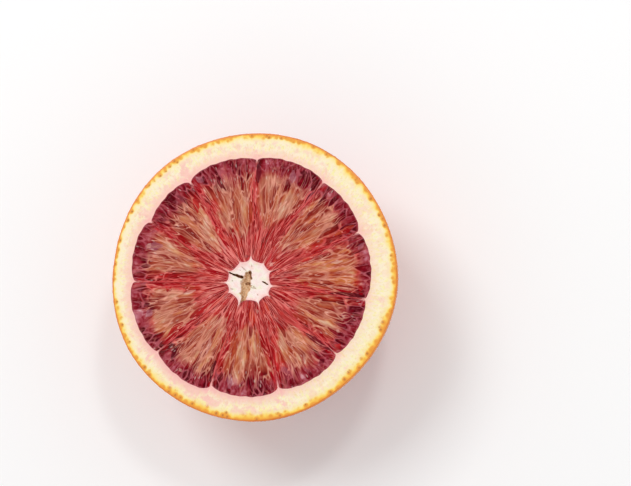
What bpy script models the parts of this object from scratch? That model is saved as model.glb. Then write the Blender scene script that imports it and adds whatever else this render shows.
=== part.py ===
"""Blood orange half, lying on its dome with the cut face up.

Metres, +Z up. The origin is on the floor, under the middle of the half. Seen from above, +X is to
the right and +Y is up, and angles run anticlockwise from +X.

The half is one solid, because peel, pulp and core hold together. Its skin is a run of rings, each
extruded from the one before. They start round the middle of the core, cross the pulp and the peel, turn down
over the rim and end round the flat spot that the dome rests on. Hollows are then cut in the core.
"""

import math

import bmesh
import bpy
from mathutils import Vector

MM = 0.001
NAME = "blood_orange_half"

# The half as a whole
RIM_RADIUS = 36.1 * MM
RIM_ROUNDING = 0.35 * MM
DOME_DEPTH = 35.2 * MM  # from the cut face to the end of the full dome, before its flat spot
DOME_FULLNESS = 2.1  # 2 is an ellipse, and more gives fuller shoulders
FLAT_RADIUS = 7.0 * MM
# Each wave round the outline is a count, a height and the direction in degrees of one crest
RIM_WAVES = ((2, 0.22 * MM, 52), (3, 0.12 * MM, -5), (5, 0.18 * MM, -10))
DOME_WAVES = ((3, 0.30 * MM, 40), (4, 0.22 * MM, 15))

# The core lies a little off the middle of the face
CORE_CENTRE = Vector((-0.85 * MM, -1.2 * MM))

# One row for each segment, anticlockwise. First comes the membrane that starts it: the direction and
# reach of its core end, from the middle of the core, and of its peel end, from the middle of the
# face. Then come the pulp's nearest point to the core's middle, and its reach towards the peel.
SEGMENTS = (
    # degrees, mm   degrees, mm   mm, mm
    (24, 6.2, 22, 27.8, 5.3, 29.8),
    (51, 5.8, 53, 29.0, 5.1, 30.3),
    (87, 6.4, 88, 28.9, 4.9, 30.1),
    (117, 5.6, 124, 27.9, 4.9, 30.1),
    (155, 6.2, 152, 29.1, 5.4, 31.1),
    (184, 6.7, 182, 29.6, 5.5, 31.7),
    (208, 6.3, 218, 30.1, 5.3, 31.3),
    (245, 7.1, 249, 28.6, 4.8, 30.2),
    (292, 6.4, 283, 27.9, 5.4, 29.9),
    (323, 6.6, 317, 28.1, 5.5, 29.6),
    (347, 6.3, 348, 28.5, 5.0, 29.8),
)
PEEL_CORNER = 2.7  # how square a segment's corners are: 2 is round
CORE_CORNER = 2.2

# Relief of the cut face, measured down from the plane of the cut
CORE_DIP = 0.25 * MM
PULP_EDGE_DROP = 0.50 * MM
PULP_CROWN_DROP = 0.10 * MM
CROWN_ACROSS = 2  # how square the pulp's pillow is, across a segment and along it
CROWN_ALONG = 4
MEMBRANE_SAG = 0.12 * MM  # halfway along, as its two ends are in the plane

# Hollows in the core. Each has a depth, then points along it, from the middle of the core, with its
# half width at each: x, y and half width, all in mm.
HOLLOWS = {
    "split": (
        1.6,
        (
            (0.0, 2.5, 0.4),
            (-0.3, 1.3, 0.85),
            (-0.7, 0.1, 1.05),
            (-0.95, -1.2, 1.15),
            (-1.3, -2.9, 0.95),
            (-1.45, -4.2, 0.65),
            (-2.0, -5.1, 0.25),
        ),
    ),
    "left_slit": (1.6, ((-5.1, 2.1, 0.14), (-3.6, 1.5, 0.27), (-2.2, 1.0, 0.36))),
    "right_slit": (1.0, ((3.3, -0.2, 0.16), (3.9, -0.5, 0.25), (4.5, -0.85, 0.2))),
}
HOLLOW_TAPER = 0.5  # width of its floor, as a share of the width of its mouth
CUTTER_RISE = 1.0 * MM  # how far a cutter stands clear of the face

# Where the columns and rings of the skin lie, as shares of each stretch
ACROSS_SEGMENT = (0, 0.045, 0.12, 0.23, 0.36, 0.5, 0.64, 0.77, 0.88, 0.955)
ALONG_CORE = (0.22, 0.48, 0.74, 0.93, 1.0)
ALONG_PULP = (0.012, 0.045, 0.11, 0.21, 0.32, 0.44, 0.56, 0.68, 0.79, 0.88, 0.945, 0.98, 1.0)
ALONG_PITH = (0.12, 0.45, 0.8, 1.0)
DOME_RINGS = 22
SHARP_EDGE = 40  # degrees

# Linear colour and roughness of each material, in the order of the mesh's material slots
FINISHES = {
    "core": ((0.92, 0.80, 0.72), 0.70),
    "pulp": ((0.36, 0.04, 0.04), 0.28),
    "pith": ((0.93, 0.80, 0.62), 0.65),
    "peel": ((0.80, 0.21, 0.03), 0.42),
    "hollow": ((0.42, 0.22, 0.10), 0.80),
}
SLOTS = list(FINISHES)


def polar(radius, degrees):
    angle = math.radians(degrees)
    return Vector((radius * math.cos(angle), radius * math.sin(angle)))


def waves(degrees, table):
    return sum(
        height * math.cos(count * math.radians(degrees - crest)) for count, height, crest in table
    )


def arch(share, squareness):
    """The upper half of a superellipse: 0 at share 0 and 1, and 1 halfway."""
    return (1 - abs(2 * share - 1) ** squareness) ** (1 / squareness)


def columns():
    """Every column of the skin: where it leaves the core, the pulp and the rim, seen from above."""
    table = []
    for row, following in zip(SEGMENTS, SEGMENTS[1:] + SEGMENTS[:1]):
        core_start, spike, peel_start, notch, tip, reach = row
        core_turn = (following[0] - core_start) % 360
        peel_turn = (following[2] - peel_start) % 360
        for share in ACROSS_SEGMENT:
            spike_here = spike + (following[1] - spike) * share
            notch_here = notch + (following[3] - notch) * share
            core_reach = spike_here + (tip - spike_here) * arch(share, CORE_CORNER)
            pulp_reach = notch_here + (reach - notch_here) * arch(share, PEEL_CORNER)
            degrees = peel_start + peel_turn * share
            table.append({
                "share": share,
                "degrees": degrees,
                "middle": CORE_CENTRE,
                "core": CORE_CENTRE + polar(core_reach * MM, core_start + core_turn * share),
                "pulp": polar(pulp_reach * MM, degrees),
                "rim": polar(RIM_RADIUS + waves(degrees, RIM_WAVES), degrees),
            })
    return table


def core_drop(_share, along):
    return CORE_DIP * (1 - along**4)


def pulp_drop(share, along):
    """The pulp is a pillow in each segment, and the membranes are low ridges between them."""
    if share == 0:
        return MEMBRANE_SAG * math.sin(math.pi * along)
    if along == 1:
        return 0
    crown = arch(share, CROWN_ACROSS) * arch(along, CROWN_ALONG)
    return PULP_EDGE_DROP + (PULP_CROWN_DROP - PULP_EDGE_DROP) * crown


def pith_drop(_share, _along):
    return 0


def dome_point(column, turn):
    """A point of the dome, its height from the plane of the cut. Turn is 0 at the rim and a quarter
    turn where the full dome ends."""
    flat = column["rim"] * math.cos(turn) ** (2 / DOME_FULLNESS)
    flat += polar(waves(column["degrees"], DOME_WAVES) * math.sin(2 * turn) ** 2, column["degrees"])
    return flat.to_3d() - Vector((0, 0, DOME_DEPTH * math.sin(turn) ** (2 / DOME_FULLNESS)))


def turn_at_depth(depth):
    return math.asin((depth / DOME_DEPTH) ** (DOME_FULLNESS / 2))


def turn_at_radius(radius):
    return math.acos((radius / RIM_RADIUS) ** (DOME_FULLNESS / 2))


def face_rings(table):
    """Rings of the cut face, from the core outwards, as (material, points)."""
    stretches = (
        ("core", "middle", "core", ALONG_CORE, core_drop),
        ("pulp", "core", "pulp", ALONG_PULP, pulp_drop),
        ("pith", "pulp", "rim", ALONG_PITH, pith_drop),
    )
    for name, start, end, steps, drop in stretches:
        for along in steps:
            points = []
            for column in table:
                flat = column[start].lerp(column[end], along)
                if end == "rim" and along == 1:
                    flat -= flat.normalized() * RIM_ROUNDING
                points.append(flat.to_3d() - Vector((0, 0, drop(column["share"], along))))
            yield name, points


def dome_rings(table):
    """Rings of the dome, from just under the rim to the flat spot, as (material, points)."""
    first, last = turn_at_depth(RIM_ROUNDING), turn_at_radius(FLAT_RADIUS)
    base = -DOME_DEPTH * math.sin(last) ** (2 / DOME_FULLNESS)
    for number in range(DOME_RINGS):
        turn = first + (last - first) * number / (DOME_RINGS - 1)
        points = [dome_point(column, turn) for column in table]
        if number == DOME_RINGS - 1:
            points = [Vector((p.x, p.y, base)) for p in points]
        yield "peel", points


def make_skin(table):
    """The closed skin of the half, before its hollows are cut. Each ring is extruded from the last."""
    bm = bmesh.new()
    column_of = bm.verts.layers.int.new("column")
    rings = [*face_rings(table), *dome_rings(table)]
    name, points = rings[0]
    verts = [bm.verts.new(p) for p in points]
    for number, vert in enumerate(verts):
        vert[column_of] = number
    middle = bm.faces.new(verts)
    middle.material_index = SLOTS.index(name)
    edges = list(middle.edges)
    for name, points in rings[1:]:
        made = bmesh.ops.extrude_edge_only(bm, edges=edges)["geom"]
        edges = [item for item in made if isinstance(item, bmesh.types.BMEdge)]
        for item in made:
            if isinstance(item, bmesh.types.BMVert):
                item.co = points[item[column_of]]
            elif isinstance(item, bmesh.types.BMFace):
                item.material_index = SLOTS.index(name)
    flat_spot = bmesh.ops.contextual_create(bm, geom=edges)["faces"][0]
    flat_spot.material_index = SLOTS.index("peel")
    bmesh.ops.poke(bm, faces=[middle, flat_spot])
    bmesh.ops.recalc_face_normals(bm, faces=bm.faces)
    return bm


def stand_on_origin(bm):
    """Moves the shape so that its box stands on the origin, and returns the move."""
    low = Vector([min(v.co[axis] for v in bm.verts) for axis in range(3)])
    high = Vector([max(v.co[axis] for v in bm.verts) for axis in range(3)])
    move = Vector((-(low.x + high.x) / 2, -(low.y + high.y) / 2, -low.z))
    bmesh.ops.translate(bm, verts=bm.verts, vec=move)
    return move


def slit_outline(points):
    """The closed outline of a slit, up its left side and down its right, in metres."""
    sides = ([], [])
    for number, (x, y, half_width) in enumerate(points):
        ahead = Vector(points[min(number + 1, len(points) - 1)][:2])
        behind = Vector(points[max(number - 1, 0)][:2])
        across = (ahead - behind).normalized().orthogonal() * half_width
        for side, sign in zip(sides, (1, -1)):
            side.append((Vector((x, y)) + across * sign) * MM)
    return sides[0] + sides[1][::-1]


def make_cutter(depth, points):
    """A tapered plug of a slit's shape, from above the plane of the cut down to its floor."""
    bm = bmesh.new()
    outline = [(CORE_CENTRE + p).to_3d() + Vector((0, 0, CUTTER_RISE)) for p in slit_outline(points)]
    mouth = bm.faces.new([bm.verts.new(p) for p in outline])
    made = bmesh.ops.extrude_face_region(bm, geom=[mouth], use_keep_orig=True)
    floor = [item for item in made["geom"] if isinstance(item, bmesh.types.BMVert)]
    middle = sum((v.co for v in floor), Vector()) / len(floor)
    for vert in floor:
        vert.co = middle + (vert.co - middle) * HOLLOW_TAPER
        vert.co.z -= CUTTER_RISE + depth * MM
    for face in bm.faces:
        face.material_index = SLOTS.index("hollow")
    bmesh.ops.recalc_face_normals(bm, faces=bm.faces)
    return bm


def make_material(name):
    colour, roughness = FINISHES[name]
    material = bpy.data.materials.new(name)
    material.use_nodes = True
    shader = material.node_tree.nodes["Principled BSDF"]
    shader.inputs["Base Color"].default_value = (*colour, 1)
    shader.inputs["Roughness"].default_value = roughness
    shader.inputs["Metallic"].default_value = 0
    return material


def make_object(name, bm, materials):
    mesh = bpy.data.meshes.new(name)
    bm.to_mesh(mesh)
    bm.free()
    for material in materials:
        mesh.materials.append(material)
    obj = bpy.data.objects.new(name, mesh)
    bpy.context.scene.collection.objects.link(obj)
    return obj


def cut(half, cutter):
    cutter.hide_render = True
    cutter.display_type = "WIRE"
    cutter.parent = half
    boolean = half.modifiers.new(cutter.name, "BOOLEAN")
    boolean.operation = "DIFFERENCE"
    boolean.solver = "EXACT"
    boolean.object = cutter


def main():
    for old in list(bpy.data.objects):
        bpy.data.objects.remove(old)
    materials = [make_material(name) for name in SLOTS]
    skin = make_skin(columns())
    move = stand_on_origin(skin)
    half = make_object(NAME, skin, materials)
    half.data.shade_smooth()
    half.data.set_sharp_from_angle(angle=math.radians(SHARP_EDGE))
    for name, (depth, points) in HOLLOWS.items():
        cutter = make_object(name + "_cutter", make_cutter(depth, points), materials)
        cutter.location = move
        cut(half, cutter)


main()
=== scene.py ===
import math
import bmesh
import bpy
import numpy as np
from mathutils import Matrix, Vector, kdtree


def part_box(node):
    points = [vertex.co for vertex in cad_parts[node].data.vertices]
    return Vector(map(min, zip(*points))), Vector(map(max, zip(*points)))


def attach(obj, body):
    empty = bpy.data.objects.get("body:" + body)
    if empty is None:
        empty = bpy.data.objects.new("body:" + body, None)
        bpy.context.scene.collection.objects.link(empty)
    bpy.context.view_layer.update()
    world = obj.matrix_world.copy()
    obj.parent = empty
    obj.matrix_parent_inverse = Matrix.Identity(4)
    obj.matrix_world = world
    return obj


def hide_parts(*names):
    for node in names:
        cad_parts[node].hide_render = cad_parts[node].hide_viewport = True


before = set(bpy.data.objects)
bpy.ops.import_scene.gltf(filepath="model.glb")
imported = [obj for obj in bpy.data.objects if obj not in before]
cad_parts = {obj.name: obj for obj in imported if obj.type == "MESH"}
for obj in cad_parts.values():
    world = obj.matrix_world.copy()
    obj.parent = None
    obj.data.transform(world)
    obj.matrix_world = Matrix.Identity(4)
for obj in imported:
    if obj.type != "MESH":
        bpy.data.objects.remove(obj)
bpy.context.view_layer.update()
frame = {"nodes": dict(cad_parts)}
print("frame loaded:", ", ".join(frame["nodes"]))

# Metres, +Z up. Angles run anticlockwise from +X, seen from above, and lengths in the tables are in mm.
mm = 0.001
node = "blood_orange_half"
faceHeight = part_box(node)[1].z

face = {
    "rimRadius": 36.1,
    "rimWaves": ((2, 0.22, 52), (3, 0.12, -5), (5, 0.18, -10)),  # count, height, direction of a crest
    "coreCentre": (-0.85, -1.2),
    "peelCorner": 2.7,  # how square a segment's corners are: 2 is round
    "ripple": 0.06,  # how far the vesicles stand out along the peel
    "coreCorner": 2.2,
    "crowding": 0.07,  # how much closer together the columns of points lie beside a membrane
    "slabDepth": 5.0,  # how far the pulp, pith and core reach down into the peel
    "splitInset": 2.6,  # from the rim to where the pith piece ends and the rind piece begins
    # a membrane's direction and reach at the core and at the peel, then the pulp's nearest point to the
    # middle of the core, and its reach towards the peel
    "segments": (
        (24, 6.2, 22, 27.8, 5.3, 29.8),
        (51, 5.8, 53, 29.0, 5.1, 30.3),
        (87, 6.4, 88, 28.9, 4.9, 30.1),
        (117, 5.6, 124, 27.9, 4.9, 30.1),
        (155, 6.2, 152, 29.1, 5.4, 31.1),
        (184, 6.7, 182, 29.6, 5.5, 31.7),
        (208, 6.3, 218, 30.1, 5.3, 31.3),
        (245, 7.1, 249, 28.6, 4.8, 30.2),
        (292, 6.4, 283, 27.9, 5.4, 29.9),
        (323, 6.6, 317, 28.1, 5.5, 29.6),
        (347, 6.3, 348, 28.5, 5.0, 29.8),
    ),
}


# The shape of the cut face, worked out for many points at once

def waves(angle, table):
    return sum(height * np.cos(count * (angle - math.radians(crest))) for count, height, crest in table)


def rimRadius(angle):
    return face["rimRadius"] + waves(angle, face["rimWaves"])


def polar(radius, angle):
    return np.stack((radius * np.cos(angle), radius * np.sin(angle)), axis=-1)


def arch(share, squareness):
    return (1 - np.abs(2 * share - 1) ** squareness) ** (1 / squareness)  # 0 at the ends, 1 halfway


def smooth(low, high, value):
    t = np.clip((value - low) / (high - low), 0, 1)
    return t * t * (3 - 2 * t)


def mixed(a, b, share):
    return a + (b - a) * share


def crowded(share):
    return share - face["crowding"] * np.sin(2 * np.pi * share)


def coreEdge(number, share):
    # outline of the core beside one segment, from its first membrane (0) to its second (1)
    row = face["segments"][number]
    following = face["segments"][(number + 1) % len(face["segments"])]
    turn = (following[0] - row[0]) % 360
    spike = mixed(row[1], following[1], share)
    reach = mixed(spike, row[4], arch(share, face["coreCorner"]))
    return np.array(face["coreCentre"]) + polar(reach, np.radians(row[0] + turn * share))


def peelEdge(number, share):
    row = face["segments"][number]
    following = face["segments"][(number + 1) % len(face["segments"])]
    angle = np.radians(row[2] + (following[2] - row[2]) % 360 * share)
    notch = mixed(row[3], following[3], share)
    ripple = face["ripple"] * (np.sin(43 * angle) + np.sin(71 * angle + number)) * 4 * share * (1 - share)
    return polar(mixed(notch, row[5], arch(share, face["peelCorner"])) + ripple, angle)


rimTurn = np.linspace(0, 2 * np.pi, 720, endpoint=False)
outline = polar(rimRadius(rimTurn), rimTurn)
faceCentre = -(outline.min(axis=0) + outline.max(axis=0)) / 2  # the face's middle, from the origin, in mm


def placed(flat, drop):
    # points in metres from places on the face and their depth below it, both in mm
    x, y = flat[..., 0] + faceCentre[0], flat[..., 1] + faceCentre[1]
    return np.stack((x * mm, y * mm, faceHeight - drop * mm), axis=-1)


# Making pieces

def coordinates(mesh):
    flat = np.empty(len(mesh.vertices) * 3)
    mesh.vertices.foreach_get("co", flat)
    return flat.reshape(-1, 3)


def setCoordinates(mesh, points):
    mesh.vertices.foreach_set("co", points.astype(np.float32).ravel())
    mesh.update()


def setMask(mesh, name, values):
    mesh.attributes.new(name, "FLOAT", "POINT").data.foreach_set("value", values.astype(np.float32))


def setVector(mesh, name, values):
    layer = mesh.attributes.new(name, "FLOAT_VECTOR", "POINT")
    layer.data.foreach_set("vector", values.astype(np.float32).ravel())


def meshFrom(name, bm):
    mesh = bpy.data.meshes.new(name)
    bmesh.ops.recalc_face_normals(bm, faces=bm.faces)
    bm.to_mesh(mesh)
    bm.free()
    return mesh


def finished(name, mesh, material, sharpDegrees=50):
    mesh.shade_smooth()
    mesh.set_sharp_from_angle(angle=math.radians(sharpDegrees))
    mesh.materials.append(material)
    piece = bpy.data.objects.new(name, mesh)
    bpy.context.scene.collection.objects.link(piece)
    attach(piece, "root")
    return piece


def spunSheet(rows, columns):
    # a flat ring of quads, wrapped from a grid: rows lie one unit apart and the first is at radius 1
    bm = bmesh.new()
    bmesh.ops.create_grid(bm, x_segments=columns, y_segments=rows - 1, size=0.5)
    for vert in bm.verts:
        radius, turn = 1 + round((vert.co.y + 0.5) * (rows - 1)), (vert.co.x + 0.5) * 2 * math.pi
        vert.co = (radius * math.cos(turn), radius * math.sin(turn), 0)
    bmesh.ops.remove_doubles(bm, verts=bm.verts, dist=1e-4)
    return bm


def rimOf(bm, radius):
    return [e for e in bm.edges if e.is_boundary and abs(e.verts[0].co.length - radius) < 0.5]


def rowsAndTurns(points):
    row = np.rint(np.hypot(points[:, 0], points[:, 1])).astype(int) - 1
    return row, np.arctan2(points[:, 1], points[:, 0])


def segmentShares(turn, perSegment):
    # the segment beside each column of points, and how far along that segment the column lies
    columns = perSegment * len(face["segments"])
    column = np.rint(turn / (2 * np.pi) * columns).astype(int) % columns
    return column // perSegment, column % perSegment / perSegment


def edgePlaces(edge, number, share):
    places = np.zeros((len(share), 2))
    for segment in range(len(face["segments"])):
        own = number == segment
        places[own] = edge(segment, share[own])
    return places


# Noise for shapes: values at whole numbers, smoothly joined

hashing = {"axes": (127.1, 311.7, 74.7), "seed": 19.19, "stretch": 43758.5453}  # large and unrelated


def latticeNoise(points, seed):
    low = np.floor(points).astype(int)
    share = points - low
    share = share * share * (3 - 2 * share)
    total = np.zeros(len(points))
    for corner in range(8):
        bits = np.array([(corner >> axis) & 1 for axis in range(3)])
        cell = low + bits
        turn = cell @ np.array(hashing["axes"]) + seed * hashing["seed"]
        hashed = np.sin(turn) * hashing["stretch"]
        weight = np.prod(np.where(bits, share, 1 - share), axis=1)
        total += (hashed - np.floor(hashed)) * weight
    return total * 2 - 1


def layered(points, layers, number=0):
    # layers of noise, each with its scale, seed and strength
    return sum(latticeNoise(points * scale, seed + number) * strength for scale, seed, strength in layers)


def lifted(flat):
    return np.concatenate((flat, np.zeros((len(flat), 1))), axis=1)  # places on the face as points in space


# Shader helpers

def newMaterial(name):
    material = bpy.data.materials.new(name)
    material.use_nodes = True
    return material, material.node_tree.nodes["Principled BSDF"]


class Nodes:
    # adds nodes to one tree, so that each node takes one short line
    def __init__(self, tree):
        self.tree = tree

    def add(self, kind, inputs=None, **settings):
        made = self.tree.nodes.new(kind)
        for key, value in settings.items():
            setattr(made, key, value)
        for key, value in (inputs or {}).items():
            self.join(value, made.inputs[key])
        return made

    def join(self, value, socket):
        if isinstance(value, bpy.types.NodeSocket):
            self.tree.links.new(value, socket)
        else:
            socket.default_value = value

    def math(self, operation, a, b=0.5, clamp=False):
        return self.add("ShaderNodeMath", {0: a, 1: b}, operation=operation, use_clamp=clamp).outputs[0]

    def times(self, first, *others):
        for other in others:
            first = self.math("MULTIPLY", first, other)
        return first

    def plus(self, base, value, amount):
        # a base, and some of another value with it
        return self.math("ADD", base, self.times(value, amount))

    def vector(self, operation, a, b=(0, 0, 0)):
        return self.add("ShaderNodeVectorMath", {0: a, 1: b}, operation=operation).outputs[0]

    def millimetres(self):
        # a place on the finished piece, in mm
        place = self.add("ShaderNodeTexCoord").outputs["Object"]
        return self.vector("MULTIPLY", place, (1 / mm, 1 / mm, 1 / mm))

    def remap(self, value, low, high, start=0.0, end=1.0, kind="SMOOTHSTEP"):
        inputs = {"Value": value, "From Min": low, "From Max": high, "To Min": start, "To Max": end}
        return self.add("ShaderNodeMapRange", inputs, interpolation_type=kind).outputs["Result"]

    def attribute(self, name, output="Fac"):
        return self.add("ShaderNodeAttribute", attribute_name=name).outputs[output]

    def mix(self, share, a, b, blend="MIX"):
        made = self.add("ShaderNodeMix", data_type="RGBA", blend_type=blend, clamp_factor=True)
        for key, value in zip((0, 6, 7), (share, a, b)):
            self.join(value, made.inputs[key])
        return made.outputs[2]

    def ramp(self, value, stops):
        # each stop is a place and a colour, as red, green and blue from 0 to 255
        made = self.add("ShaderNodeValToRGB", {0: value})
        elements = made.color_ramp.elements
        while len(elements) < len(stops):
            elements.new(0.5)
        for element, (place, *colour) in zip(elements, stops):
            element.position = place
            element.color = srgb(*colour)
        return made.outputs[0]

    def noise(self, where, scale, detail=3.0, roughness=0.55, distortion=0.0):
        inputs = {"Vector": where, "Scale": scale, "Detail": detail, "Roughness": roughness,
                  "Distortion": distortion}
        return self.add("ShaderNodeTexNoise", inputs).outputs["Fac"]

    def parts(self, vector):
        return self.add("ShaderNodeSeparateXYZ", {0: vector}).outputs

    def blend(self, share, a, b):
        # one value or the other
        made = self.add("ShaderNodeMix", data_type="FLOAT", clamp_factor=True)
        for key, value in zip((0, 2, 3), (share, a, b)):
            self.join(value, made.inputs[key])
        return made.outputs[0]

    def ridge(self, value, level, width):
        # 1 where a value crosses a level, which draws a thin line
        away = self.math("ABSOLUTE", self.math("SUBTRACT", value, level))
        return self.remap(away, width, width * 0.2)

    def mottle(self, where, scale, detail, roughness, low, high, strength, ground, speck):
        inputs = {"Vector": where, "Scale": scale, "Detail": detail, "Roughness": roughness, "Low": low,
                  "High": high, "Strength": strength, "Ground": ground, "Speck": speck}
        made = self.add("ShaderNodeGroup", node_tree=mottleTree)
        for key, value in inputs.items():
            self.join(value, made.inputs[key])
        return made.outputs

    def bump(self, height, strength, distance, normal=None):
        inputs = {"Height": height, "Strength": strength, "Distance": distance}
        if normal:
            inputs["Normal"] = normal
        return self.add("ShaderNodeBump", inputs).outputs[0]


studioLoss = 0.93  # share of a surface's own brightness that this light would need to show it as it is


def srgb(red, green, blue):
    # the colour that shows as these 0 to 255 values in this studio's light
    def linear(value):
        value /= 255
        return studioLoss * (value / 12.92 if value <= 0.04045 else ((value + 0.055) / 1.055) ** 2.4)

    return (linear(red), linear(green), linear(blue), 1)


def makeMottle():
    # specks of one colour on another where a noise is high, which the pith, the skin and the core share
    tree = bpy.data.node_groups.new("mottle", "ShaderNodeTree")
    for kind, names in (("Vector", ("Vector",)), ("Color", ("Ground", "Speck")),
                        ("Float", ("Scale", "Detail", "Roughness", "Low", "High", "Strength"))):
        for name in names:
            tree.interface.new_socket(name, in_out="INPUT", socket_type="NodeSocket" + kind)
    tree.interface.new_socket("Colour", in_out="OUTPUT", socket_type="NodeSocketColor")
    tree.interface.new_socket("Height", in_out="OUTPUT", socket_type="NodeSocketFloat")
    n = Nodes(tree)
    given = n.add("NodeGroupInput").outputs
    noise = n.noise(given["Vector"], given["Scale"], given["Detail"], given["Roughness"])
    share = n.times(n.remap(noise, given["Low"], given["High"]), given["Strength"])
    result = n.add("NodeGroupOutput")
    n.join(n.mix(share, given["Ground"], given["Speck"]), result.inputs["Colour"])
    n.join(noise, result.inputs["Height"])
    return tree


mottleTree = makeMottle()


# Camera: the half stands on edge in the photograph, so here the camera looks down on the cut face

view = {
    "tilt": 8.5,  # degrees off the straight view down
    "towards": -38,  # direction that it is tilted to
    "distance": 0.527,  # metres
    "lens": 120,
    "sensor": 36,
    "nearest": 0.01,
    "shiftRight": 15.7,  # mm, from the middle of the face to the middle of the frame
    "shiftUp": 8.3,
}


def makeCamera():
    tilt, towards = math.radians(view["tilt"]), math.radians(view["towards"])
    back = Vector((math.sin(tilt) * math.cos(towards), math.sin(tilt) * math.sin(towards), math.cos(tilt)))
    right = Vector((0, 1, 0)).cross(back).normalized()
    up = back.cross(right)
    aim = Vector((faceCentre[0] * mm, faceCentre[1] * mm, faceHeight))
    aim += right * view["shiftRight"] * mm + up * view["shiftUp"] * mm
    camera = bpy.data.objects.new("camera", bpy.data.cameras.new("camera"))
    camera.data.lens = view["lens"]
    camera.data.sensor_width = view["sensor"]
    camera.data.clip_start = view["nearest"]
    camera.location = aim + back * view["distance"]
    camera.rotation_mode = "QUATERNION"
    camera.rotation_quaternion = Matrix((right, up, back)).transposed().to_quaternion()
    bpy.context.scene.collection.objects.link(camera)
    bpy.context.scene.camera = camera


makeCamera()

studio = {
    "room": 0.92,
    "overhead": 0.4,  # the room is dimmer overhead, so wet pulp only shines where it tilts
    "overheadFrom": (0.6, 0.9),  # height of a direction where the dimming begins and ends
    "keySize": 0.7,
    "keyPower": 10.8,
    "keyFrom": (-0.70, 0.80, 1.50),
    "glintSize": 0.08,
    "glintPower": 0.6,
    "glintFrom": (0.16, 0.30, 0.60),
    "floorSize": 2,
    "floorGrey": 0.93,
}


def areaLamp(name, size, power, place):
    lamp = bpy.data.objects.new(name, bpy.data.lights.new(name, "AREA"))
    lamp.data.shape = "SQUARE"
    lamp.data.size = size
    lamp.data.energy = power
    lamp.location = place
    lamp.rotation_mode = "QUATERNION"
    lamp.rotation_quaternion = (-Vector(place)).to_track_quat("-Z", "Y")
    bpy.context.scene.collection.objects.link(lamp)


def makeStudio():
    world = bpy.data.worlds.new("studio")
    world.use_nodes = True
    background = world.node_tree.nodes["Background"]
    background.inputs["Color"].default_value = (1, 1, 1, 1)
    n = Nodes(world.node_tree)
    steep = n.math("ABSOLUTE", n.parts(n.add("ShaderNodeTexCoord").outputs["Generated"])[2])
    strength = n.remap(steep, *studio["overheadFrom"], studio["room"], studio["overhead"])
    n.join(strength, background.inputs["Strength"])
    bpy.context.scene.world = world
    areaLamp("key_light", studio["keySize"], studio["keyPower"], studio["keyFrom"])
    areaLamp("glint_light", studio["glintSize"], studio["glintPower"], studio["glintFrom"])
    bpy.context.scene.view_settings.view_transform = "Standard"
    bm = bmesh.new()
    bmesh.ops.create_grid(bm, x_segments=1, y_segments=1, size=studio["floorSize"])
    mesh = meshFrom("floor", bm)
    material, shader = newMaterial("floor paper")
    grey = studio["floorGrey"]
    shader.inputs["Base Color"].default_value = (grey, grey, grey, 1)
    shader.inputs["Roughness"].default_value = 0.6
    mesh.materials.append(material)
    floor = bpy.data.objects.new("floor", mesh)
    bpy.context.scene.collection.objects.link(floor)


makeStudio()
print("camera, lights and floor made")

# Pulp: one piece for each segment, its skin and juice vesicles included

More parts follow.
